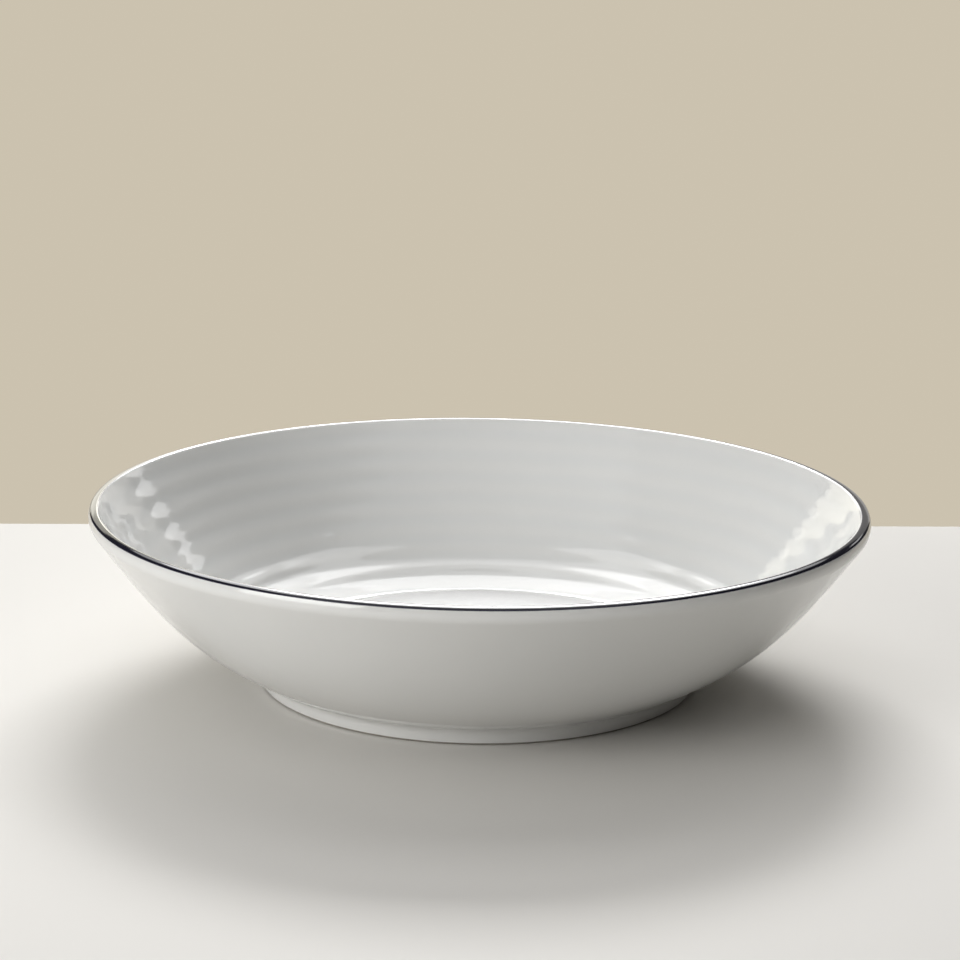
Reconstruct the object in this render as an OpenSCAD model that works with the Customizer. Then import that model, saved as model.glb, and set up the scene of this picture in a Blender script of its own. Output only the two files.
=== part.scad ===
// Low serving bowl in white glazed porcelain.
// The flared wall stands on a low foot ring, soft ribs run round the inside,
// and a dark band covers the top of the lip.
// Millimetres, +Z up, origin on the table at the middle of the foot.

/* [Rim] */
// Outside diameter over the lip
rim_d = 319; // [305:1:335]
// Height from the table to the top of the lip
bowl_h = 75; // [70:1:82]
// Radius of the outside turn just under the band
lip_turn_r = 5; // [4:0.1:6]
// Heading of the outside face where the band begins, in degrees
band_from = 118; // [108:1:126]
// Radius of the lip's outer corner
corner_r = 1.6; // [1.3:0.1:2]
// Radius of the gently rounded top of the lip
top_r = 5; // [4:0.1:6.5]
// How far the top of the lip falls to the outside, in degrees
top_fall = 20; // [15:1:25]
// Radius of the lip's inner corner
inner_r = 2; // [1.5:0.1:2.5]
// How far round the inner corner the band ends, in degrees
band_to = 20; // [12:1:28]

/* [Wall] */
// Slope of the outside just under the lip, in degrees
flare_slope = 54; // [51:0.5:57]
// Slope of the outside where it leaves the foot, in degrees
turn_slope = 25; // [21:0.5:30]
// Reach of the flat turn above the foot, as a share of the wall
turn_reach = 0.40; // [0.32:0.01:0.44]
// Reach of the straight flare under the lip, as a share of the wall
flare_reach = 0.37; // [0.32:0.01:0.42]
// Thickness of the wall where it leaves the foot
wall_t = 5.2; // [4.8:0.1:6]

/* [Inside] */
// Number of ribs round the inside of the wall
rib_count = 8; // [5:1:10]
// Depth of the valleys between the ribs
rib_depth = 0.2; // [0.1:0.05:0.35]
// Plain margin between the lip's inner corner and the first rib
rib_margin = 1.2; // [0.4:0.2:4]
// Width of the hollow turn between the wall and the floor
cove_w = 10; // [7:0.5:13]
// Slope of the hollow turn where it meets the floor, in degrees
cove_slope = 8; // [5:0.5:12]
// How far the edge of the floor lies inside the edge of the foot
floor_inset = 2.2; // [1:0.1:5]
// Number of faint rings across the floor
floor_rings = 4; // [2:1:6]
// Height of the faint rings
floor_ring_h = 0.15; // [0.05:0.05:0.25]

/* [Foot] */
// Diameter of the foot at the table
foot_d = 180; // [170:1:190]
// Height of the foot ring, from the table to the underside of the bowl
foot_h = 6.8; // [6:0.1:7.6]
// Width of the foot ring at the table
foot_w = 5; // [4:0.1:7]
// Slope of the outside of the foot, in degrees
foot_slope = 75; // [68:1:82]
// Radius of the hollow turn between the foot and the wall
foot_turn_r = 6.4; // [5:0.1:7]
// Radius of the two edges that stand on the table
foot_edge_r = 0.8; // [0.4:0.1:1.2]
// Thickness of the floor of the bowl
base_t = 4.2; // [3.6:0.1:5]
// Radius of the glaze in the corner of the recess underneath
recess_turn_r = 1.5; // [0.8:0.1:2.5]

/* [Glaze] */
// Thickness of the glaze and of the coloured band
glaze_t = 0.3; // [0.2:0.05:0.5]
// Bare strip that the glaze leaves above the foot's edges
bare_strip = 0.2; // [0.1:0.05:0.5]

/* [Hidden] */
$fn = 180;

porcelain_white = [0.93, 0.92, 0.90];
glaze_white = [0.96, 0.96, 0.95];
bare_clay = [0.86, 0.83, 0.78];
band_blue_black = [0.05, 0.05, 0.09];

// Number of straight pieces in each run of the section
wall_steps = 28;
rib_steps = 68;
cove_steps = 9;
floor_steps = 32;
turn_steps = 6;

// A station is [radius, height, heading] of the finished face. The section is
// followed from under the foot, up the outside, over the lip and down inside,
// so that the clay always lies on the left of the heading.
function along(a) = [cos(a), sin(a)];
function left(a) = [-sin(a), cos(a)];
function station(p, a) = [p[0], p[1], a];
function face(s) = [s[0], s[1]];
function under(s) = face(s) + glaze_t * left(s[2]);

// Run of stations without its first or its last one
function tail(run) = [for (i = [1:len(run) - 1]) run[i]];
function head(run) = [for (i = [0:len(run) - 2]) run[i]];

// Arc between two headings. A negative radius has its centre off the clay.
function turn(c, r, a0, a1, steps) =
    [for (i = [0:steps]) let (a = a0 + (a1 - a0) * i / steps) station(c - r * left(a), a)];

// Smooth curve between two points, leaving and arriving at given headings
function curve(p0, a0, k0, p1, a1, k1) =
    let (c = norm(p1 - p0))
    [p0, p0 + k0 * c * along(a0), p1 - k1 * c * along(a1), p1];
function curve_point(c, t) =
    pow(1 - t, 3) * c[0] + 3 * pow(1 - t, 2) * t * c[1] + 3 * (1 - t) * t * t * c[2] + pow(t, 3) * c[3];
function curve_heading(c, t) =
    let (d = pow(1 - t, 2) * (c[1] - c[0]) + 2 * (1 - t) * t * (c[2] - c[1]) + t * t * (c[3] - c[2]))
    atan2(d[1], d[0]);

// Distance along a run of stations, one value for each station
function distances(run) =
    [for (i = 0, d = 0; i < len(run);
        d = d + (i + 1 < len(run) ? norm(face(run[i + 1]) - face(run[i])) : 0), i = i + 1) d];

// Foot: the core of its outside leans out from the table, then turns into the wall
foot_r = foot_d / 2;
foot_in_r = foot_r - foot_w;
bare_h = foot_edge_r + bare_strip;
joint_heading = 45;
core_turn_r = foot_turn_r + glaze_t;
foot_turn_z = foot_h - core_turn_r * cos(joint_heading);
foot_side_h = foot_turn_z + core_turn_r * cos(foot_slope);
foot_turn_c = [foot_r + foot_side_h / tan(foot_slope) + core_turn_r * sin(foot_slope), foot_turn_z];
bare_core = [foot_r + bare_h / tan(foot_slope), bare_h];
foot_edge = station(bare_core - glaze_t * left(foot_slope), foot_slope);
foot_low_turn = turn(foot_turn_c, -foot_turn_r, foot_slope, joint_heading, turn_steps);
foot_high_turn = turn(foot_turn_c, -foot_turn_r, joint_heading, turn_slope, turn_steps);
joint_r = under(foot_high_turn[0])[0];

// Lip: an outside turn, an outer corner, the gently rounded top and an inner corner
corner_rise = corner_r * (cos(band_from) + cos(top_fall));
top_rise = top_r * (1 - cos(top_fall));
lip_rise = lip_turn_r * (cos(flare_slope) - cos(band_from)) + corner_rise + top_rise;
lip_start = [rim_d / 2 - lip_turn_r * (1 - sin(flare_slope)), bowl_h - lip_rise];
lip_turn_c = lip_start + lip_turn_r * left(flare_slope);
corner_c = lip_turn_c - (lip_turn_r - corner_r) * left(band_from);
top_c = corner_c + (top_r - corner_r) * left(180 - top_fall);
inner_c = top_c + [0, top_r - inner_r];
lip_turn = turn(lip_turn_c, lip_turn_r, flare_slope, band_from, turn_steps);
corner = turn(corner_c, corner_r, band_from, 180 - top_fall, turn_steps);
lip_top = turn(top_c, top_r, 180 - top_fall, 180, turn_steps);
inner_high = turn(inner_c, inner_r, 180, 180 + band_to, turn_steps);
inner_low = turn(inner_c, inner_r, 180 + band_to, 180 + flare_slope, turn_steps);
lip_t = (face(inner_low[turn_steps]) - lip_start) * left(flare_slope);

// Outside of the wall, from the foot's turn to the lip's turn
wall = curve(face(foot_high_turn[turn_steps]), turn_slope, turn_reach, lip_start, flare_slope, flare_reach);
outside_wall = [for (i = [1:wall_steps - 1])
    station(curve_point(wall, i / wall_steps), curve_heading(wall, i / wall_steps))];

// Inside of the wall before the ribs are cut, from the lip down to the hollow turn
floor_r = foot_r - floor_inset;
floor_z = foot_h + base_t;
inside_wall = [for (i = [0:rib_steps])
    let (t = 1 - i / rib_steps)
    let (a = curve_heading(wall, t))
    let (p = curve_point(wall, t) + (lip_t + (wall_t - lip_t) * (1 - t)) * left(a))
    if (p[0] > floor_r + cove_w) station(p, a + 180)];
wall_end = inside_wall[len(inside_wall) - 1];
cove_reach = 0.36;
cove = curve(face(wall_end), wall_end[2], cove_reach,
    [floor_r, floor_z + rib_depth], 180 + cove_slope, cove_reach);
cove_run = [for (i = [1:cove_steps])
    station(curve_point(cove, i / cove_steps), curve_heading(cove, i / cove_steps))];
plain_inside = concat([inner_low[turn_steps]], inside_wall, cove_run);

// Ribs: valleys cut along the inside, the last half valley ending at the floor's edge
plain_run = distances(plain_inside);
plain_end = len(plain_inside) - 1;
rib_pitch = (plain_run[plain_end] - rib_margin) / (rib_count + 0.5);
function valley(d) = d < rib_margin ? 0 : rib_depth / 2 * (1 - cos(360 * (d - rib_margin) / rib_pitch));
ribbed_inside = [for (i = [0:plain_end - 1])
    station(face(plain_inside[i]) + valley(plain_run[i]) * left(plain_inside[i][2]), plain_inside[i][2])];

// Floor: level at its edge and middle, with faint raised rings between
function ring(share) = floor_ring_h / 2 * (1 - cos(360 * floor_rings * share));
floor_edge = station([floor_r, floor_z], 180 + cove_slope / 2);
floor_run = [for (i = [1:floor_steps])
    station([floor_r * (1 - i / floor_steps), floor_z + ring(i / floor_steps)], 180)];

// Runs of the section that the coats cover
outside_low = concat([foot_edge], foot_low_turn);
outside_high = concat(foot_high_turn, outside_wall, lip_turn);
outside_run = concat(outside_low, tail(outside_high));
band_run = concat(corner, tail(lip_top), tail(inner_high));
inside_run = concat(head(inner_low), ribbed_inside, [floor_edge], floor_run);

// Coat of glaze_t that lies on a run of stations
module coat(run) {
    last = len(run) - 1;
    rotate_extrude() polygon(concat(
        [for (s = run) face(s)],
        [for (i = [0:last]) under(run[last - i])]
    ));
}

module porcelain_body() {
    color(porcelain_white) rotate_extrude() polygon(concat(
        [[0, foot_h], [joint_r, foot_h]],
        [for (s = tail(outside_high)) under(s)],
        [for (s = tail(band_run)) under(s)],
        [for (s = tail(inside_run)) under(s)]
    ));
}

module foot_ring() {
    edge_c_in = [foot_in_r + foot_edge_r, foot_edge_r];
    edge_lift = foot_edge_r * (1 - cos(foot_slope));
    edge_c_out = [foot_r + edge_lift / tan(foot_slope) - foot_edge_r * sin(foot_slope), foot_edge_r];
    color(bare_clay) rotate_extrude() polygon(concat(
        [[foot_in_r, foot_h]],
        [for (s = turn(edge_c_in, foot_edge_r, -90, 0, turn_steps)) face(s)],
        [for (s = turn(edge_c_out, foot_edge_r, 0, foot_slope, turn_steps)) face(s)],
        [for (s = head(foot_low_turn)) under(s)],
        [[joint_r, foot_h]]
    ));
}

module inside_glaze() {
    color(glaze_white) coat(inside_run);
}

module outside_glaze() {
    color(glaze_white) coat(outside_run);
}

module base_glaze() {
    recess_z = foot_h - glaze_t;
    recess_r = foot_in_r - glaze_t;
    recess_c = [recess_r - recess_turn_r, recess_z - recess_turn_r];
    color(glaze_white) rotate_extrude() polygon(concat(
        [[0, recess_z]],
        [for (s = turn(recess_c, -recess_turn_r, 0, -90, turn_steps)) face(s)],
        [[recess_r, bare_h], [foot_in_r, bare_h], [foot_in_r, foot_h], [0, foot_h]]
    ));
}

module rim_band() {
    color(band_blue_black) coat(band_run);
}

porcelain_body();
foot_ring();
inside_glaze();
outside_glaze();
base_glaze();
rim_band();
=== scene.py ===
"""Dress a low glazed serving bowl: turned pieces, fired finishes, floor, light and camera."""

import logging
import math
from dataclasses import dataclass, field, replace
from enum import Enum
from itertools import accumulate
from typing import Any, Iterable, Optional, Sequence, Union

import bpy
from mathutils import Matrix, Vector


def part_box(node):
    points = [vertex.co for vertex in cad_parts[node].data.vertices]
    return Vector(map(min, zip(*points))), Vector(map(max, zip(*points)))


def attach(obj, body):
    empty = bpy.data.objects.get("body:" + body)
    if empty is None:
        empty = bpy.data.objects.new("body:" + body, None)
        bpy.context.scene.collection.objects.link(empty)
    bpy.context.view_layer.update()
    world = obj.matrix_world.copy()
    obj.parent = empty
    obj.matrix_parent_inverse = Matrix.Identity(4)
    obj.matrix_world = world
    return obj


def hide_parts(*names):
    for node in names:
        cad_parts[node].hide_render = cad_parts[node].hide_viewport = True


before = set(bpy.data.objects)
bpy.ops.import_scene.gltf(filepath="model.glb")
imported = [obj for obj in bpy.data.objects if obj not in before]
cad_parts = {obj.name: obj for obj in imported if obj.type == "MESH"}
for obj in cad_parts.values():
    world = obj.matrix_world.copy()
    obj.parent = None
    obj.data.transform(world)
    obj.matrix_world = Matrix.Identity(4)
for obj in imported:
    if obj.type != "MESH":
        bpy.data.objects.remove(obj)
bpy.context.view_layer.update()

LOG = logging.getLogger("serving_bowl")
BODY = "root"
MM = 0.001

# Headings in the section, in degrees.
OUTWARD = 0.0
INWARD = 180.0
DOWN = -90.0
# Radius in metres under which a point lies on the axis.
ON_AXIS = 1e-7
# The last rib ends half way through its wave, at the floor's edge.
HALF_RIB = 0.5
# Mean value of a noise.
MIDDLE = 0.5
GLAZE_IOR = 1.52
# Places of a Mix node's colour sockets, which share their names with its sockets for numbers.
MIX_SHARE, MIX_FIRST, MIX_SECOND, MIX_RESULT = 0, 6, 7, 2
# Tilt in degrees of a camera that looks straight ahead.
LEVEL = 90.0

Colour = tuple[float, float, float]
Value = Union["Wire", float, int, Sequence[float]]


class Slot(Enum):
    """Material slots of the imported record."""

    PORCELAIN = "porcelain"
    BARE_PORCELAIN = "bare_porcelain"
    INSIDE_WHITE = "inside_white"
    OUTSIDE_WHITE = "outside_white"
    BASE_WHITE = "base_white"
    BAND_ENAMEL = "band_enamel"


class Face(Enum):
    """Shapes of a lamp's face."""

    RECTANGLE = "RECTANGLE"
    ELLIPSE = "ELLIPSE"


class Mark(Enum):
    """Names of the values that a turned mesh carries at each point."""

    POOL = "pool"
    APART = "apart"
    # Marks the floor for wear and for the grey of painted shade.
    WORN_AND_SHADED = "used"


def along(heading: float) -> Vector:
    """Unit step in the section for a heading in degrees."""
    return Vector((math.cos(math.radians(heading)), math.sin(math.radians(heading))))


def left(heading: float) -> Vector:
    """Unit step into the clay, to the left of a heading in degrees."""
    return Vector((-math.sin(math.radians(heading)), math.cos(math.radians(heading))))


def opaque(colour: Colour) -> tuple[float, float, float, float]:
    """The colour with full cover, as colour sockets take it."""
    return (*colour, 1.0)


@dataclass(frozen=True)
class Station:
    """A point of the half section, and the way that the finished face runs there.

    The section is followed from under the foot, up the outside, over the lip and down the inside,
    so that the clay always lies on the left of the heading.

    Attributes:
        point: radius and height in metres.
        heading: direction of the face in degrees.
        pool: how far the point lies in a hollow that glaze runs into, from 0 to 1.
        apart: distance in metres along the face from the nearest edge of the band, or 1 far from it.
        used: how far use has dulled the point and painted shade greys it, from 0 to 1.
    """

    point: Vector
    heading: float = OUTWARD
    pool: float = 0.0
    apart: float = 1.0
    used: float = 0.0

    def sunk(self, depth: float) -> "Station":
        """The station moved by a depth in metres into the clay."""
        return replace(self, point=self.point + depth * left(self.heading))


Run = list[Station]


def turn(centre: Vector, radius: float, start: float, end: float, steps: int) -> Run:
    """Follow an arc between two headings.

    Args:
        centre: centre of the arc in the section.
        radius: radius in metres, negative where the centre lies off the clay.
        start: first heading in degrees.
        end: last heading in degrees.
        steps: number of straight pieces.

    Returns:
        The stations along the arc, both ends included.
    """
    headings = [start + (end - start) * i / steps for i in range(steps + 1)]
    return [Station(centre - radius * left(a), a) for a in headings]


@dataclass(frozen=True)
class Sweep:
    """A smooth curve between two points that leaves and arrives at given headings.

    Attributes:
        start: first point.
        start_heading: heading there in degrees.
        start_reach: share of the chord over which that heading pulls.
        end: last point.
        end_heading: heading there in degrees.
        end_reach: share of the chord over which that heading pulls.
    """

    start: Vector
    start_heading: float
    start_reach: float
    end: Vector
    end_heading: float
    end_reach: float

    def handles(self) -> tuple[Vector, Vector, Vector, Vector]:
        """Work out the control points of the curve.

        Returns:
            The four points, from start to end.
        """
        chord = (self.end - self.start).length
        first = self.start + self.start_reach * chord * along(self.start_heading)
        second = self.end - self.end_reach * chord * along(self.end_heading)
        return self.start, first, second, self.end

    def at(self, t: float) -> Station:
        """Find a place on the curve.

        Args:
            t: share of the curve, from 0 to 1.

        Returns:
            The station there.
        """
        a, b, c, d = self.handles()
        s = 1 - t
        point = s ** 3 * a + 3 * s * s * t * b + 3 * s * t * t * c + t ** 3 * d
        way = s * s * (b - a) + 2 * s * t * (c - b) + t * t * (d - c)
        return Station(point, math.degrees(math.atan2(way.y, way.x)))


def distances(run: Run) -> list[float]:
    """Distance along a run from its first station, one value for each station."""
    gaps = [(b.point - a.point).length for a, b in zip(run, run[1:])]
    return [0.0, *accumulate(gaps)]


@dataclass(frozen=True)
class Section:
    """The bowl's half section, in metres and degrees, worked out from its driving sizes.

    Attributes:
        rim_radius: radius of the lip where it is widest.
        height: height of the top of the lip.
        foot_height: height of the underside of the body.
        lip_turn_radius: radius of the outside turn under the lip.
        band_from: heading at the band's outer edge.
        corner_radius: radius of the lip's outer corner.
        top_radius: radius of the gently rounded top of the lip.
        top_fall: how far that top falls to the outside.
        inner_radius: radius of the lip's inner corner.
        band_to: how far the inner corner falls at the band's inner edge.
        flare_slope: slope of the wall under the lip.
        turn_slope: slope of the wall above the foot.
        turn_reach: share of the chord over which the slope above the foot pulls.
        flare_reach: share of the chord over which the slope under the lip pulls.
        wall_thickness: thickness of the wall at the floor.
        rib_count: number of ribs round the inside.
        rib_depth: depth of the hollows between the ribs.
        rib_margin: plain strip between the lip and the first rib.
        cove_width: width of the cove at the foot of the wall.
        cove_slope: slope of the cove at the floor's edge.
        cove_reach: share of the chord over which the cove's ends pull.
        floor_inset: how far the floor's edge lies inside the foot's outside.
        floor_rings: number of faint rings on the floor.
        floor_ring_height: rise of those rings.
        floor_pool: how far glaze pools between those rings, from 0 to 1.
        foot_radius: outside radius of the foot at the ground.
        foot_width: width of the foot ring at the ground.
        foot_slope: slope of the foot's outside.
        foot_turn_radius: radius of the hollow turn between the foot and the wall.
        foot_edge_radius: radius of the foot's edges at the ground.
        joint_heading: heading in the hollow turn where the foot meets the body.
        base_thickness: thickness of the floor.
        recess_turn_radius: radius of the glaze in the corner of the recess.
        glaze: thickness of every coat.
        bare_strip: bare strip above the foot's rounded edges.
        wall_steps: number of straight pieces up the outside of the wall.
        rib_steps: number of straight pieces down the ribs.
        cove_steps: number of straight pieces in the cove.
        floor_steps: number of straight pieces across the floor.
        turn_steps: number of straight pieces in a turn.
    """

    rim_radius: float
    height: float
    foot_height: float
    lip_turn_radius: float = 5.0 * MM
    band_from: float = 118.0
    corner_radius: float = 1.6 * MM
    top_radius: float = 5.0 * MM
    top_fall: float = 20.0
    inner_radius: float = 2.0 * MM
    band_to: float = 20.0
    flare_slope: float = 54.0
    turn_slope: float = 25.0
    turn_reach: float = 0.40
    flare_reach: float = 0.37
    wall_thickness: float = 5.2 * MM
    rib_count: int = 8
    rib_depth: float = 0.2 * MM
    rib_margin: float = 1.2 * MM
    cove_width: float = 10.0 * MM
    cove_slope: float = 8.0
    cove_reach: float = 0.36
    floor_inset: float = 2.2 * MM
    floor_rings: int = 4
    floor_ring_height: float = 0.15 * MM
    floor_pool: float = 0.4
    foot_radius: float = 90.0 * MM
    foot_width: float = 5.0 * MM
    foot_slope: float = 75.0
    foot_turn_radius: float = 6.4 * MM
    foot_edge_radius: float = 0.8 * MM
    joint_heading: float = 45.0
    base_thickness: float = 4.2 * MM
    recess_turn_radius: float = 1.5 * MM
    glaze: float = 0.3 * MM
    bare_strip: float = 0.2 * MM
    wall_steps: int = 48
    rib_steps: int = 130
    cove_steps: int = 16
    floor_steps: int = 48
    turn_steps: int = 8

    @classmethod
    def from_frame(cls) -> "Section":
        """Take the rim, the height and the foot's height from the fixed frame.

        Returns:
            The section at those sizes.
        """
        return cls(
            rim_radius=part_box("outside_glaze")[1].x,
            height=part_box("rim_band")[1].z,
            foot_height=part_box("foot_ring")[1].z,
        )

    @property
    def foot_inner_radius(self) -> float:
        """Inside radius of the foot ring."""
        return self.foot_radius - self.foot_width

    @property
    def bare_height(self) -> float:
        """Height above the ground at which the glaze stops."""
        return self.foot_edge_radius + self.bare_strip

    @property
    def floor_radius(self) -> float:
        """Radius of the flat floor inside."""
        return self.foot_radius - self.floor_inset

    @property
    def floor_height(self) -> float:
        """Height of the floor's edge above the ground."""
        return self.foot_height + self.base_thickness

    @property
    def lip_start(self) -> Vector:
        """Point where the flare ends and the lip's outside turn begins.

        Returns:
            Its radius and height.
        """
        flare = math.radians(self.flare_slope)
        edge = math.radians(self.band_from)
        fall = math.radians(self.top_fall)
        corner = self.corner_radius * (math.cos(edge) + math.cos(fall))
        top = self.top_radius * (1 - math.cos(fall))
        rise = self.lip_turn_radius * (math.cos(flare) - math.cos(edge)) + (corner + top)
        return Vector((self.rim_radius - self.lip_turn_radius * (1 - math.sin(flare)), self.height - rise))

    @property
    def lip_turn_centre(self) -> Vector:
        """Centre of the outside turn just under the lip."""
        return self.lip_start + self.lip_turn_radius * left(self.flare_slope)

    @property
    def corner_centre(self) -> Vector:
        """Centre of the lip's outer corner."""
        return self.lip_turn_centre - (self.lip_turn_radius - self.corner_radius) * left(self.band_from)

    @property
    def top_centre(self) -> Vector:
        """Centre of the gently rounded top of the lip."""
        return self.corner_centre + (self.top_radius - self.corner_radius) * left(INWARD - self.top_fall)

    @property
    def inner_centre(self) -> Vector:
        """Centre of the lip's inner corner."""
        return self.top_centre + Vector((0.0, self.top_radius - self.inner_radius))

    @property
    def lip_thickness(self) -> float:
        """Distance between the two faces of the wall just under the lip."""
        return (self.lip_inside()[-1].point - self.lip_start).dot(left(self.flare_slope))

    @property
    def foot_turn_centre(self) -> Vector:
        """Centre of the hollow turn between the foot and the wall.

        Returns:
            Its radius and height.
        """
        core = self.foot_turn_radius + self.glaze
        slope = math.radians(self.foot_slope)
        z = self.foot_height - core * math.cos(math.radians(self.joint_heading))
        side = z + core * math.cos(slope)
        return Vector((self.foot_radius + side / math.tan(slope) + core * math.sin(slope), z))

    def foot_low_turn(self) -> Run:
        """Hollow turn of the foot below the underside of the body."""
        headings = (self.foot_slope, self.joint_heading)
        return turn(self.foot_turn_centre, -self.foot_turn_radius, *headings, self.turn_steps)

    def foot_high_turn(self) -> Run:
        """Hollow turn of the foot above the underside of the body."""
        headings = (self.joint_heading, self.turn_slope)
        return turn(self.foot_turn_centre, -self.foot_turn_radius, *headings, self.turn_steps)

    def wall(self) -> Sweep:
        """Outside of the wall, from the foot's turn to the lip's turn."""
        start = (self.foot_high_turn()[-1].point, self.turn_slope, self.turn_reach)
        return Sweep(*start, self.lip_start, self.flare_slope, self.flare_reach)

    def lip_outside(self) -> Run:
        """Outside turn of the lip, up to the band."""
        headings = (self.flare_slope, self.band_from)
        return turn(self.lip_turn_centre, self.lip_turn_radius, *headings, 2 * self.turn_steps)

    def band(self) -> Run:
        """Follow the top of the lip, which the band covers.

        Returns:
            The stations, with their distance from the band's nearer edge.
        """
        edge = INWARD - self.top_fall
        corner = turn(self.corner_centre, self.corner_radius, self.band_from, edge, self.turn_steps)
        top = turn(self.top_centre, self.top_radius, edge, INWARD, self.turn_steps)
        inner = turn(self.inner_centre, self.inner_radius, INWARD, INWARD + self.band_to, self.turn_steps)
        run = [*corner, *top[1:], *inner[1:]]
        gone = distances(run)
        return [replace(s, apart=min(d, gone[-1] - d)) for s, d in zip(run, gone)]

    def lip_inside(self) -> Run:
        """Inner corner of the lip, from the band to the inside of the wall."""
        headings = (INWARD + self.band_to, INWARD + self.flare_slope)
        return turn(self.inner_centre, self.inner_radius, *headings, self.turn_steps)

    def outside_low(self) -> Run:
        """Follow the outside of the foot.

        Returns:
            The stations from the glaze's edge to the underside of the body.
        """
        lean = self.bare_height / math.tan(math.radians(self.foot_slope))
        bare = Vector((self.foot_radius + lean, self.bare_height))
        edge = Station(bare, self.foot_slope).sunk(-self.glaze)
        return [edge, *self.foot_low_turn()]

    def outside_high(self) -> Run:
        """Follow the outside of the body.

        Returns:
            The stations from its underside to the band, with their distance from the band.
        """
        sweep = self.wall()
        wall = [sweep.at(i / self.wall_steps) for i in range(1, self.wall_steps)]
        hollow = [replace(s, pool=1.0 - i / self.turn_steps) for i, s in enumerate(self.foot_high_turn())]
        run = [*hollow, *wall, *self.lip_outside()]
        gone = distances(run)
        return [replace(s, apart=gone[-1] - d) for s, d in zip(run, gone)]

    def plain_inside(self) -> Run:
        """Follow the inside of the wall before its ribs are cut.

        Returns:
            The stations from the lip to the floor's edge.
        """
        sweep = self.wall()
        run = [self.lip_inside()[-1]]
        for i in range(self.rib_steps + 1):
            t = 1 - i / self.rib_steps
            outer = sweep.at(t)
            depth = self.lip_thickness + (self.wall_thickness - self.lip_thickness) * (1 - t)
            inner = replace(outer.sunk(depth), heading=outer.heading + INWARD)
            if inner.point.x > self.floor_radius + self.cove_width:
                run.append(inner)
        start = (run[-1].point, run[-1].heading, self.cove_reach)
        floor_edge = Vector((self.floor_radius, self.floor_height + self.rib_depth))
        cove = Sweep(*start, floor_edge, INWARD + self.cove_slope, self.cove_reach)
        return run + [cove.at(i / self.cove_steps) for i in range(1, self.cove_steps + 1)]

    def inside(self) -> Run:
        """Follow the inside of the bowl, ribs and floor.

        Returns:
            The stations from the band to the middle of the floor.
        """
        lip = self.lip_inside()
        start = distances(lip)
        ribbed = [replace(s, apart=d) for s, d in zip(lip[:-1], start)]
        plain = self.plain_inside()
        gone = distances(plain)
        pitch = (gone[-1] - self.rib_margin) / (self.rib_count + HALF_RIB)
        for station, d in zip(plain[:-1], gone):
            phase = max(d - self.rib_margin, 0.0) / pitch
            valley = (1 - math.cos(math.tau * phase)) / 2
            ribbed.append(replace(station.sunk(self.rib_depth * valley), pool=valley, apart=start[-1] + d))
        corner = Vector((self.floor_radius, self.floor_height))
        edge = Station(corner, INWARD + self.cove_slope / 2, pool=1.0)
        return [*ribbed, edge, *self.floor()]

    def floor(self) -> Run:
        """Follow the floor of the bowl with its faint rings.

        Returns:
            The stations from just inside its edge to the middle.
        """
        run = []
        for i in range(1, self.floor_steps + 1):
            share = i / self.floor_steps
            ring = (1 - math.cos(math.tau * self.floor_rings * share)) / 2
            height = self.floor_height + self.floor_ring_height * ring
            point = Vector((self.floor_radius * (1 - share), height))
            # Every floor point is marked for wear, which dulls its gloss, and for painted shade, which
            # greys its colour.
            run.append(Station(point, INWARD, self.floor_pool * (1 - ring), used=1.0))
        return run

    def coat(self, run: Run) -> Run:
        """Closed outline of a coat of glaze that lies on a run."""
        return [*run, *(s.sunk(self.glaze) for s in reversed(run))]


@dataclass(frozen=True)
class Lathe:
    """Turns closed outlines into round meshes.

    Attributes:
        steps: number of faces round the axis.
        sharp: smallest fold in degrees that stays a crisp edge.
    """

    steps: int = 240
    sharp: float = 35.0

    def spin(self, name: str, outline: Run) -> bpy.types.Object:
        """Turn an outline round the axis into one closed mesh.

        Args:
            name: name of the new piece.
            outline: closed outline with the solid on its left; points on the axis become one point.

        Returns:
            The new object, linked to the scene, with its marks as point values.
        """
        verts: list[tuple[float, float, float]] = []
        stations: Run = []
        rings: list[list[int]] = []
        for station in outline:
            r, z = station.point
            count = self.steps if r > ON_AXIS else 1
            turns = [math.tau * k / self.steps for k in range(count)]
            rings.append(list(range(len(verts), len(verts) + count)))
            verts += [(r * math.cos(a), r * math.sin(a), z) for a in turns]
            stations += [station] * count
        faces: list[tuple[int, ...]] = []
        for low, high in zip(rings, rings[1:] + rings[:1]):
            faces += self.strip(low, high)
        mesh = bpy.data.meshes.new(name)
        mesh.from_pydata(verts, [], faces)
        for mark in Mark:
            values = mesh.attributes.new(mark.value, "FLOAT", "POINT")
            values.data.foreach_set("value", [getattr(s, mark.value) for s in stations])
        mesh.shade_smooth()
        mesh.set_sharp_from_angle(angle=math.radians(self.sharp))
        piece = bpy.data.objects.new(name, mesh)
        bpy.context.scene.collection.objects.link(piece)
        return piece

    def strip(self, low: list[int], high: list[int]) -> Iterable[tuple[int, ...]]:
        """Join two neighbouring rings, either of which may be a single point.

        Args:
            low: points of the first ring.
            high: points of the next ring.

        Returns:
            The faces between them.
        """
        if len(low) == 1 and len(high) == 1:
            return []
        following = [(k, (k + 1) % self.steps) for k in range(self.steps)]
        if len(low) == 1:
            return [(low[0], high[n], high[k]) for k, n in following]
        if len(high) == 1:
            return [(low[k], low[n], high[0]) for k, n in following]
        return [(low[k], low[n], high[n], high[k]) for k, n in following]


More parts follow.
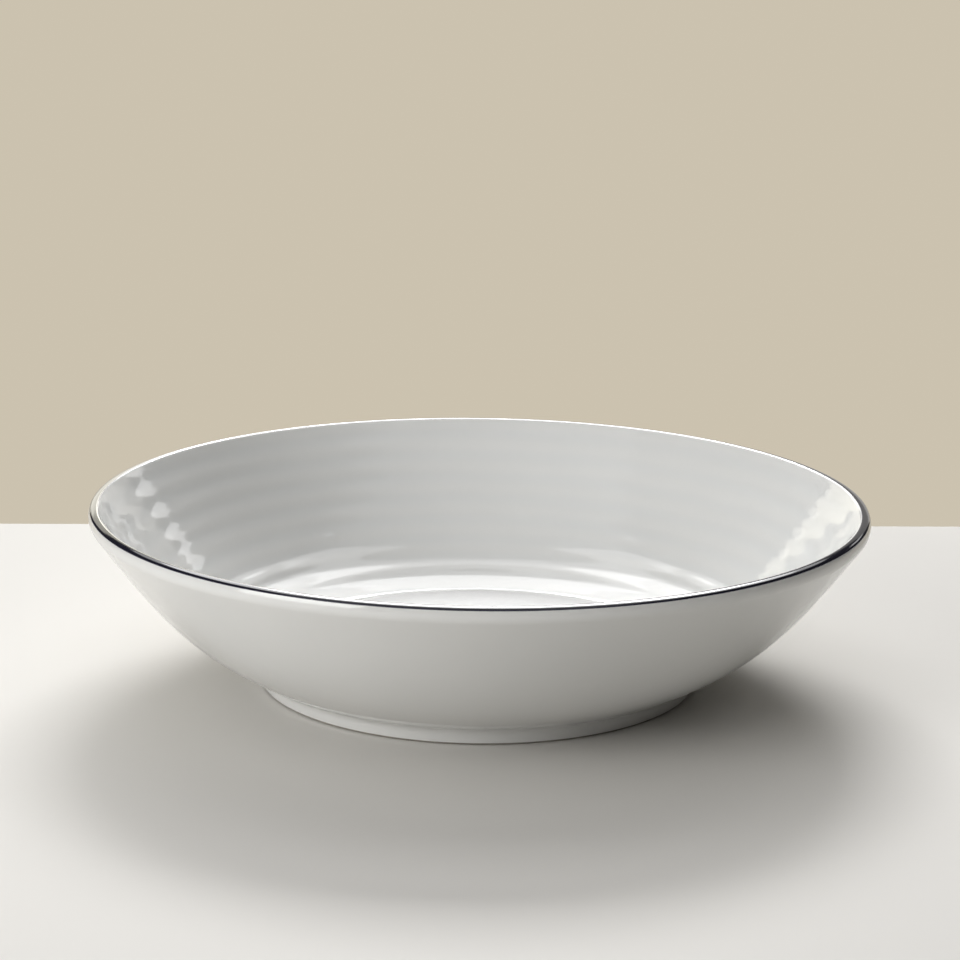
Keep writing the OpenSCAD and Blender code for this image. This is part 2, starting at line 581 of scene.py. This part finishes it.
class Wire:
    """A socket of a shader, with the arithmetic that the finishes use."""

    def __init__(self, shader: "Shader", socket: bpy.types.NodeSocket) -> None:
        """Wrap a socket of a shader's tree."""
        self.shader = shader
        self.socket = socket

    def math(self, operation: str, first: Value, second: Value) -> "Wire":
        """One Math node on two values."""
        return self.shader.node("ShaderNodeMath", {"operation": operation}, {0: first, 1: second})

    def __add__(self, other: Value) -> "Wire":
        """Sum."""
        return self.math("ADD", self, other)

    def __radd__(self, other: Value) -> "Wire":
        """Sum with a number on the left."""
        return self.math("ADD", other, self)

    def __sub__(self, other: Value) -> "Wire":
        """Difference."""
        return self.math("SUBTRACT", self, other)

    def __rsub__(self, other: Value) -> "Wire":
        """Difference from a number on the left."""
        return self.math("SUBTRACT", other, self)

    def __mul__(self, other: Value) -> "Wire":
        """Product."""
        return self.math("MULTIPLY", self, other)

    def __rmul__(self, other: Value) -> "Wire":
        """Product with a number on the left."""
        return self.math("MULTIPLY", other, self)

    def __truediv__(self, other: Value) -> "Wire":
        """Quotient."""
        return self.math("DIVIDE", self, other)

    def __rtruediv__(self, other: Value) -> "Wire":
        """Quotient of a number on the left."""
        return self.math("DIVIDE", other, self)

    def clamped(self) -> "Wire":
        """The value held between 0 and 1."""
        return self.math("MINIMUM", self.math("MAXIMUM", self, 0.0), 1.0)


class Shader:
    """The node tree of one material, built from expressions."""

    def __init__(self, name: str) -> None:
        """Make a material with an empty tree.

        Args:
            name: name of the material.
        """
        self.material = bpy.data.materials.new(name)
        self.material.use_nodes = True
        self.tree = self.material.node_tree
        self.tree.nodes.clear()

    def add(
        self,
        kind: str,
        settings: Optional[dict[str, Any]] = None,
        sockets: Optional[dict[Union[str, int], Value]] = None,
    ) -> bpy.types.Node:
        """Add a node to the tree.

        Args:
            kind: type name of the node.
            settings: properties that are set before its sockets.
            sockets: values or wires of its inputs, by name or place.

        Returns:
            The new node.
        """
        made = self.tree.nodes.new(kind)
        for name, setting in (settings or {}).items():
            setattr(made, name, setting)
        for name, value in (sockets or {}).items():
            if isinstance(value, Wire):
                self.tree.links.new(value.socket, made.inputs[name])
            else:
                made.inputs[name].default_value = value
        return made

    def node(
        self,
        kind: str,
        settings: Optional[dict[str, Any]] = None,
        sockets: Optional[dict[Union[str, int], Value]] = None,
        output: Union[str, int] = 0,
    ) -> Wire:
        """Add a node and hand back one of its outputs, by name or place."""
        return Wire(self, self.add(kind, settings, sockets).outputs[output])

    def mark(self, mark: Mark) -> Wire:
        """A value that the mesh carries at each point."""
        return self.node("ShaderNodeAttribute", {"attribute_name": mark.value}, output="Fac")

    def place(self) -> Wire:
        """The point in the object's own space, in metres."""
        return self.node("ShaderNodeTexCoord", output="Object")

    def noise(self, size: float, detail: float) -> Wire:
        """Soft noise round its middle, from patches of a size in metres and a number of finer layers."""
        sockets = {"Vector": self.place(), "Scale": 1.0 / size, "Detail": detail}
        return self.node("ShaderNodeTexNoise", {"noise_dimensions": "3D"}, sockets, "Fac")

    def mix(self, share: Value, first: Value, second: Value) -> Wire:
        """Blend two colours.

        Args:
            share: how much of the second colour shows, from 0 to 1.
            first: the colour at a share of 0.
            second: the colour at a share of 1.

        Returns:
            The blended colour.
        """
        sockets = {MIX_SHARE: share}
        for place, colour in ((MIX_FIRST, first), (MIX_SECOND, second)):
            sockets[place] = colour if isinstance(colour, Wire) else opaque(colour)
        settings = {"data_type": "RGBA", "blend_type": "MIX"}
        return self.node("ShaderNodeMix", settings, sockets, MIX_RESULT)

    def bump(self, height: Wire, rise: float) -> Wire:
        """Relief of a rise in metres from a height value."""
        sockets = {"Strength": 1.0, "Distance": rise, "Height": height}
        return self.node("ShaderNodeBump", {}, sockets, "Normal")

    def surface(self, **sockets: Value) -> bpy.types.Material:
        """Close the material with one principled surface.

        Args:
            sockets: values or wires by socket name, with underscores for spaces.

        Returns:
            The finished material.
        """
        named = {name.replace("_", " "): value for name, value in sockets.items()}
        return self.close(self.node("ShaderNodeBsdfPrincipled", {}, named, "BSDF"))

    def close(self, shader: Wire) -> bpy.types.Material:
        """Link a shader to the material's surface, and hand back the material."""
        self.add("ShaderNodeOutputMaterial", {}, {"Surface": shader})
        return self.material


@dataclass(frozen=True)
class WhiteGlaze:
    """Clear glossy glaze over white clay.

    It is cooler where it pools, its band bleeds into its edge, and the worn floor is greyed as painted
    shade.

    Attributes:
        name: name of the material.
        white: colour over a plain face.
        pooled: colour where it lies thick.
        floor_shade_grey: painted shade, the grey that the worn floor's colour is darkened towards.
        bled: colour of the band's bleed.
        pool_share: how far a hollow takes the colour towards pooled.
        cloud_size: size of the soft clouds in metres.
        cloud_share: how far the clouds take the colour towards pooled.
        bleed_reach: how far the band's colour bleeds, in metres.
        bleed_share: how much of that colour shows at the band.
        ragged_size: size in metres of the waves in the bleed's edge.
        ragged_depth: depth of those waves in metres.
        wear_and_shade_share: how far use takes the colour towards dulled.
        scratch_size: size of the fine scratches in metres.
        scratch_share: how far the scratches change the dulling.
        ripple_size: size of the ripples in metres.
        ripple_rise: rise of the ripples in metres.
        roughness: roughness of a clean face.
        cloud_roughness: how far the clouds change the roughness.
        dull_roughness: roughness that full dulling adds.
    """

    name: str
    white: Colour = (0.80, 0.80, 0.78)
    pooled: Colour = (0.72, 0.74, 0.745)
    floor_shade_grey: Colour = (0.62, 0.62, 0.615)
    bled: Colour = (0.10, 0.10, 0.15)
    pool_share: float = 0.25
    cloud_size: float = 60 * MM
    cloud_share: float = 0.5
    bleed_reach: float = 0.7 * MM
    bleed_share: float = 0.2
    ragged_size: float = 3 * MM
    ragged_depth: float = 0.5 * MM
    # wear_and_shade_share: how far wear dulls the gloss and painted shade greys the colour.
    wear_and_shade_share: float = 0.8
    scratch_size: float = 1.5 * MM
    # scratch_share: how far the scratches change the dulling and the painted shade.
    scratch_share: float = 0.4
    ripple_size: float = 14 * MM
    ripple_rise: float = 0.02 * MM
    roughness: float = 0.06
    cloud_roughness: float = 0.04
    dull_roughness: float = 0.6

    def build(self) -> bpy.types.Material:
        """Make the material.

        Returns:
            The finished glaze.
        """
        shader = Shader(self.name)
        cloud = shader.noise(self.cloud_size, detail=3.0)
        ripple = shader.noise(self.ripple_size, detail=1.0)
        ragged = shader.noise(self.ragged_size, detail=2.0)
        depth = shader.mark(Mark.POOL) * self.pool_share + (cloud - MIDDLE) * self.cloud_share
        colour = shader.mix(depth.clamped(), self.white, self.pooled)
        apart = shader.mark(Mark.APART) + (ragged - MIDDLE) * self.ragged_depth
        bleed = (1 - apart / self.bleed_reach).clamped()
        colour = shader.mix(bleed * bleed * self.bleed_share, colour, self.bled)
        scratch = shader.noise(self.scratch_size, detail=4.0)
        wear = self.wear_and_shade_share + (scratch - MIDDLE) * self.scratch_share
        # Painted shade: this mask greys the floor's colour; as wear it also dulls the floor's gloss.
        wear_and_shade = (shader.mark(Mark.WORN_AND_SHADED) * wear).clamped()
        colour = shader.mix(wear_and_shade, colour, self.floor_shade_grey)
        return shader.surface(
            Base_Color=colour,
            Roughness=self.roughness + (cloud - MIDDLE) * self.cloud_roughness + wear_and_shade * self.dull_roughness,
            IOR=GLAZE_IOR,
            Normal=shader.bump(ripple, self.ripple_rise),
        )


@dataclass(frozen=True)
class BandEnamel:
    """Fired blue-black colour under glaze, a little thinner and bluer at its edges.

    Attributes:
        name: name of the material.
        deep: colour in the middle of the band.
        thin: colour where it lies thin.
        edge: width of the thin edge in metres.
        edge_share: how far the edge takes the colour towards thin.
        ragged_depth: depth in metres of the waves in that edge.
        streak_size: size of the streaks in metres.
        streak_share: how far the streaks take the colour towards thin.
        streak_rise: rise of the streaks in metres.
        roughness: roughness of the band.
        streak_roughness: how far the streaks change the roughness.
    """

    name: str = "band_enamel"
    deep: Colour = (0.008, 0.008, 0.016)
    thin: Colour = (0.055, 0.055, 0.085)
    edge: float = 0.5 * MM
    edge_share: float = 0.8
    ragged_depth: float = 0.6 * MM
    streak_size: float = 6 * MM
    streak_share: float = 0.15
    streak_rise: float = 0.008 * MM
    roughness: float = 0.07
    streak_roughness: float = 0.05

    def build(self) -> bpy.types.Material:
        """Make the material.

        Returns:
            The finished enamel.
        """
        shader = Shader(self.name)
        streak = shader.noise(self.streak_size, detail=3.0)
        apart = shader.mark(Mark.APART) + (streak - MIDDLE) * self.ragged_depth
        near = (1 - apart / self.edge).clamped()
        thinness = near * self.edge_share + (streak - MIDDLE) * self.streak_share
        return shader.surface(
            Base_Color=shader.mix(thinness.clamped(), self.deep, self.thin),
            Roughness=self.roughness + (streak - MIDDLE) * self.streak_roughness,
            IOR=GLAZE_IOR,
            Normal=shader.bump(streak, self.streak_rise),
        )


@dataclass(frozen=True)
class BareClay:
    """Fired clay without glaze: fine dry grain, darkened near the ground, partly as wear and partly as
    painted contact shadow.

    Attributes:
        name: name of the material.
        clay: colour of the fired clay.
        grain: colour of its grain.
        wear_and_contact_shadow: colour near the ground, wear from standing and painted contact shadow.
        grain_size: size of the grain in metres.
        grain_from: noise value from which the grain shows.
        grain_rise: rise of the grain in metres.
        patch_size: size of the worn patches in metres.
        patch_share: how far the patches change that darkening.
        patch_roughness: how far the patches change the roughness.
        wear_and_shadow_height: height in metres over which it is darkened.
        wear_and_shadow_fade: how quickly the darkening fades in below that height.
        wear_and_shadow_share: how far the darkening takes the colour towards wear_and_contact_shadow.
        roughness: roughness of the clay.
    """

    name: str
    clay: Colour = (0.70, 0.66, 0.58)
    grain: Colour = (0.58, 0.53, 0.45)
    wear_and_contact_shadow: Colour = (0.20, 0.18, 0.155)
    grain_size: float = 0.7 * MM
    grain_from: float = 0.3
    grain_rise: float = 0.03 * MM
    patch_size: float = 9 * MM
    patch_share: float = 0.5
    patch_roughness: float = 0.2
    wear_and_shadow_height: float = 1.1 * MM
    wear_and_shadow_fade: float = 2.5
    wear_and_shadow_share: float = 0.75
    roughness: float = 0.72

    def build(self) -> bpy.types.Material:
        """Make the material.

        Returns:
            The finished clay.
        """
        shader = Shader(self.name)
        speck = shader.noise(self.grain_size, detail=3.0)
        patch = shader.noise(self.patch_size, detail=2.0)
        height = shader.node("ShaderNodeSeparateXYZ", {}, {"Vector": shader.place()}, "Z")
        # Darker towards the ground: partly wear from standing, partly a painted contact shadow.
        low = ((1 - height / self.wear_and_shadow_height) * self.wear_and_shadow_fade).clamped()
        wear_and_shadow = low * (self.wear_and_shadow_share + (patch - MIDDLE) * self.patch_share)
        colour = shader.mix((speck - self.grain_from).clamped(), self.clay, self.grain)
        colour = shader.mix(wear_and_shadow.clamped(), colour, self.wear_and_contact_shadow)
        return shader.surface(
            Base_Color=colour,
            Roughness=self.roughness + (patch - MIDDLE) * self.patch_roughness,
            Normal=shader.bump(speck, self.grain_rise),
        )


@dataclass(frozen=True)
class FlatPaint:
    """Plain matt paint for the floor.

    Attributes:
        name: name of the material.
        colour: its even colour.
        roughness: its roughness.
        shine: strength of its faint gloss.
    """

    name: str
    colour: Colour
    roughness: float = 0.6
    shine: float = 0.06

    def build(self) -> bpy.types.Material:
        """Make the material."""
        paint = {"Base_Color": opaque(self.colour), "Roughness": self.roughness}
        return Shader(self.name).surface(**paint, Specular_IOR_Level=self.shine)


@dataclass(frozen=True)
class PlainBackdrop:
    """Matt backdrop that is seen, and mirrored, in its own even colour.

    Attributes:
        name: name of the material.
        colour: its even colour.
    """

    name: str
    colour: Colour

    def build(self) -> bpy.types.Material:
        """Make the material.

        Returns:
            The finished backdrop.
        """
        shader = Shader(self.name)
        matt = shader.node("ShaderNodeBsdfDiffuse", {}, {"Color": opaque(self.colour)})
        even = shader.node("ShaderNodeEmission", {}, {"Color": opaque(self.colour), "Strength": 1.0})
        seen = shader.node("ShaderNodeLightPath", output="Is Camera Ray")
        mirrored = shader.node("ShaderNodeLightPath", output="Is Glossy Ray")
        through = shader.node("ShaderNodeLightPath", output="Is Transmission Ray")
        share = (seen + mirrored + through).clamped()
        return shader.close(shader.node("ShaderNodeMixShader", {}, {0: share, 1: matt, 2: even}))


def settle(piece: bpy.types.Object, node: str, finish: bpy.types.Material) -> bpy.types.Object:
    """Dress a piece and tie it to the fixed frame.

    Args:
        piece: the new mesh, already in place.
        node: the CAD node that it stands for.
        finish: the material that it wears.

    Returns:
        The same piece.
    """
    piece.data.materials.append(finish)
    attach(piece, BODY)
    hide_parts(node)
    return piece


@dataclass
class Body:
    """The turned clay body, which carries every coat.

    Attributes:
        section: the bowl's half section.
        lathe: what turns it.
        finish: the clay that it is made of.
    """

    section: Section
    lathe: Lathe
    finish: BareClay = field(default_factory=lambda: BareClay("body_clay"))

    def outline(self) -> Run:
        """Follow the clay under the coats.

        Returns:
            The closed outline.
        """
        s = self.section
        outside = [station.sunk(s.glaze) for station in s.outside_high()]
        lip = [station.sunk(s.glaze) for station in s.band()[1:]]
        inside = [station.sunk(s.glaze) for station in s.inside()[1:]]
        return [Station(Vector((0.0, s.foot_height))), *outside, *lip, *inside]

    def build(self) -> list[bpy.types.Object]:
        """Make and dress the body."""
        piece = self.lathe.spin("clay_body", self.outline())
        return [settle(piece, "porcelain_body", self.finish.build())]


@dataclass
class Foot:
    """The foot ring with its bare edges, and the glazed recess inside it.

    Attributes:
        section: the bowl's half section.
        lathe: what turns it.
        recess_pool: how far glaze pools in the corner of the recess, from 0 to 1.
        clay: the clay of the ring.
        glaze: the glaze of the recess.
    """

    section: Section
    lathe: Lathe
    recess_pool: float = 0.8
    clay: BareClay = field(default_factory=lambda: BareClay("foot_clay"))
    glaze: WhiteGlaze = field(default_factory=lambda: WhiteGlaze("base_glaze"))

    def ring_outline(self) -> Run:
        """Follow the foot ring.

        Returns:
            The closed outline.
        """
        s = self.section
        slope = math.radians(s.foot_slope)
        lift = s.foot_edge_radius * (1 - math.cos(slope))
        inner = Vector((s.foot_inner_radius + s.foot_edge_radius, s.foot_edge_radius))
        outer_r = s.foot_radius + lift / math.tan(slope) - s.foot_edge_radius * math.sin(slope)
        outer = Vector((outer_r, s.foot_edge_radius))
        return [
            Station(Vector((s.foot_inner_radius, s.foot_height)), DOWN),
            *turn(inner, s.foot_edge_radius, DOWN, OUTWARD, s.turn_steps),
            *turn(outer, s.foot_edge_radius, OUTWARD, s.foot_slope, s.turn_steps),
            *(station.sunk(s.glaze) for station in s.foot_low_turn()),
        ]

    def recess_outline(self) -> Run:
        """Follow the glaze in the recess, which is thicker in its corner.

        Returns:
            The closed outline.
        """
        s = self.section
        z = s.foot_height - s.glaze
        r = s.foot_inner_radius - s.glaze
        centre = Vector((r - s.recess_turn_radius, z - s.recess_turn_radius))
        corner = turn(centre, -s.recess_turn_radius, OUTWARD, DOWN, s.turn_steps)
        return [
            Station(Vector((0.0, z))),
            *(replace(station, pool=self.recess_pool) for station in corner),
            Station(Vector((r, s.bare_height)), DOWN),
            Station(Vector((s.foot_inner_radius, s.bare_height)), DOWN),
            Station(Vector((s.foot_inner_radius, s.foot_height)), DOWN),
            Station(Vector((0.0, s.foot_height))),
        ]

    def build(self) -> list[bpy.types.Object]:
        """Make and dress the foot ring and the recess.

        Returns:
            The two pieces.
        """
        ring = self.lathe.spin("bare_foot", self.ring_outline())
        recess = self.lathe.spin("recess_coat", self.recess_outline())
        return [
            settle(ring, "foot_ring", self.clay.build()),
            settle(recess, "base_glaze", self.glaze.build()),
        ]


@dataclass
class Coats:
    """The glaze inside and outside, and the dark band between them.

    Attributes:
        section: the bowl's half section.
        lathe: what turns it.
        inside: the glaze of the inside.
        outside: the glaze of the outside.
        band: the enamel of the band.
    """

    section: Section
    lathe: Lathe
    inside: WhiteGlaze = field(default_factory=lambda: WhiteGlaze("inside_glaze"))
    outside: WhiteGlaze = field(default_factory=lambda: WhiteGlaze("outside_glaze"))
    band: BandEnamel = field(default_factory=BandEnamel)

    def build(self) -> list[bpy.types.Object]:
        """Make and dress the three coats.

        Returns:
            The three pieces.
        """
        s = self.section
        outside_run = [*s.outside_low(), *s.outside_high()[1:]]
        inner = self.lathe.spin("ribbed_inside", s.coat(s.inside()))
        outer = self.lathe.spin("plain_outside", s.coat(outside_run))
        crown = self.lathe.spin("lip_band", s.coat(s.band()))
        return [
            settle(inner, "inside_glaze", self.inside.build()),
            settle(outer, "outside_glaze", self.outside.build()),
            settle(crown, "rim_band", self.band.build()),
        ]


@dataclass(frozen=True)
class Softbox:
    """A soft lamp that faces a point.

    Attributes:
        name: name of the lamp.
        place: its middle, in metres.
        width: its width in metres.
        height: its height in metres.
        glow: brightness of its face, where 1 is white.
        tint: colour of its light.
        aim: the point that it faces.
        face: shape of its face.
        lights: whether it lights matt surfaces, or is only seen in glossy ones.
    """

    name: str
    place: tuple[float, float, float]
    width: float
    height: float
    glow: float
    tint: Colour = (1.0, 1.0, 1.0)
    aim: tuple[float, float, float] = (0.0, 0.0, 0.04)
    face: Face = Face.RECTANGLE
    lights: bool = True

    def build(self) -> None:
        """Make the lamp, whose energy is pi times its glow and its area."""
        data = bpy.data.lights.new(self.name, "AREA")
        data.shape = self.face.value
        data.size, data.size_y = self.width, self.height
        data.energy = self.glow * math.pi * self.width * self.height
        if self.face is Face.ELLIPSE:
            data.energy *= math.pi / 4
        data.color = self.tint
        lamp = bpy.data.objects.new(self.name, data)
        lamp.location = self.place
        lamp.rotation_euler = (Vector(self.aim) - Vector(self.place)).to_track_quat("-Z", "Y").to_euler()
        lamp.visible_camera = False
        lamp.visible_diffuse = self.lights
        bpy.context.scene.collection.objects.link(lamp)


@dataclass
class Studio:
    """Floor, backdrop, light and camera.

    Attributes:
        floor_back: distance in metres behind the bowl's axis at which the backdrop begins.
        floor_turn: turn of the floor and the backdrop in degrees.
        reach: how far they go in metres.
        floor_paint: finish of the floor.
        back_paint: finish of the backdrop.
        sky: colour of the light from all round.
        sky_glow: strength of that light.
        lens: focal length in millimetres.
        sensor: width of the camera's sensor in millimetres.
        eye: place of the camera in metres.
        pitch: how far it looks down, in degrees.
        roll: how far it leans, in degrees.
        lamps: the soft lamps.
    """

    floor_back: float = 0.245
    floor_turn: float = 2.2
    reach: float = 6.0
    floor_paint: FlatPaint = FlatPaint("pale_floor", (0.745, 0.728, 0.695))
    back_paint: PlainBackdrop = PlainBackdrop("warm_backdrop", (0.60, 0.54, 0.43))
    sky: Colour = (1.0, 0.96, 0.90)
    sky_glow: float = 0.04
    lens: float = 99.375
    sensor: float = 36.0
    eye: tuple[float, float, float] = (-0.00009, -1.0567, 0.3394)
    pitch: float = 13.635
    roll: float = 0.731
    lamps: tuple[Softbox, ...] = (
        Softbox("back_softbox", (0.10, 2.38, 1.86), 1.24, 0.72, 22.5),
        Softbox("back_upper_panel", (0.0, 0.636, 1.343), 1.48, 0.61, 1.85),
        Softbox("inner_round_card", (0.0, 1.054, 1.10), 1.28, 1.20, 4.9, face=Face.ELLIPSE, lights=False),
        Softbox("outer_round_card", (0.0, 1.054, 1.10), 1.52, 1.40, 1.5, face=Face.ELLIPSE, lights=False),
        Softbox("overhead_panel", (-0.10, -0.45, 1.60), 2.0, 2.0, 0.55),
        Softbox("left_front_panel", (-1.2, -1.0, 0.50), 1.0, 0.70, 5.2),
        Softbox("left_high_panel", (-1.0, -0.9, 0.90), 0.8, 0.70, 1.7),
        Softbox("back_left_panel", (-0.48, 1.512, 0.345), 0.69, 0.63, 1.25, (1.0, 0.96, 0.82)),
        Softbox("left_lip_card", (-0.17, 1.50, 0.51), 0.34, 0.42, 2.0, (1.0, 0.97, 0.90), lights=False),
        Softbox(
            "near_lip_card", (-0.26, 0.50, 0.175), 0.16, 0.075, 1.1,
            (1.0, 0.97, 0.88), (-0.155, 0.0, 0.075), lights=False,
        ),
        Softbox("back_right_card", (0.40, 1.50, 0.31), 0.80, 0.58, 0.40, (1.0, 0.97, 0.92), lights=False),
        Softbox("low_right_card", (0.40, 1.50, 0.19), 0.80, 0.34, 0.40, (1.0, 0.97, 0.92), lights=False),
        Softbox("right_spark_card", (0.86, 1.37, 0.63), 0.30, 0.17, 1.7, lights=False),
    )

    def sheet(self, name: str, near: float, far: float, paint: Union[FlatPaint, PlainBackdrop]) -> None:
        """Lay a flat sheet on the ground.

        Args:
            name: name of the sheet.
            near: its edge towards the camera, in metres.
            far: its edge away from the camera, in metres.
            paint: its finish.
        """
        side = self.reach
        corners = [(-side, near, 0.0), (side, near, 0.0), (side, far, 0.0), (-side, far, 0.0)]
        mesh = bpy.data.meshes.new(name)
        mesh.from_pydata(corners, [], [(0, 1, 2, 3)])
        mesh.materials.append(paint.build())
        sheet = bpy.data.objects.new(name, mesh)
        sheet.rotation_euler.z = math.radians(self.floor_turn)
        bpy.context.scene.collection.objects.link(sheet)

    def world(self) -> None:
        """Set the even light from all round."""
        world = bpy.data.worlds.new("even_light")
        world.use_nodes = True
        background = world.node_tree.nodes["Background"]
        background.inputs["Color"].default_value = opaque(self.sky)
        background.inputs["Strength"].default_value = self.sky_glow
        bpy.context.scene.world = world

    def camera(self) -> None:
        """Set the camera at the photograph's angle."""
        data = bpy.data.cameras.new("camera")
        data.lens, data.sensor_width = self.lens, self.sensor
        camera = bpy.data.objects.new("camera", data)
        tilt = Matrix.Rotation(math.radians(LEVEL - self.pitch), 4, "X")
        roll = Matrix.Rotation(math.radians(self.roll), 4, "Z")
        camera.matrix_world = Matrix.Translation(self.eye) @ tilt @ roll
        bpy.context.scene.collection.objects.link(camera)
        bpy.context.scene.camera = camera

    def build(self) -> None:
        """Make the whole studio."""
        self.sheet("floor", -self.reach, self.floor_back, self.floor_paint)
        self.sheet("backdrop", self.floor_back, self.reach, self.back_paint)
        self.world()
        for lamp in self.lamps:
            lamp.build()
        self.camera()
        bpy.context.scene.view_settings.view_transform = "Standard"


def main() -> None:
    """Build the bowl and its studio, and report each piece."""
    logging.basicConfig(level=logging.INFO)
    section = Section.from_frame()
    lathe = Lathe()
    for assembly in (Body(section, lathe), Foot(section, lathe), Coats(section, lathe)):
        for piece in assembly.build():
            LOG.info("%s: %d faces", piece.name, len(piece.data.polygons))
    Studio().build()


if __name__ == "__main__":
    main()
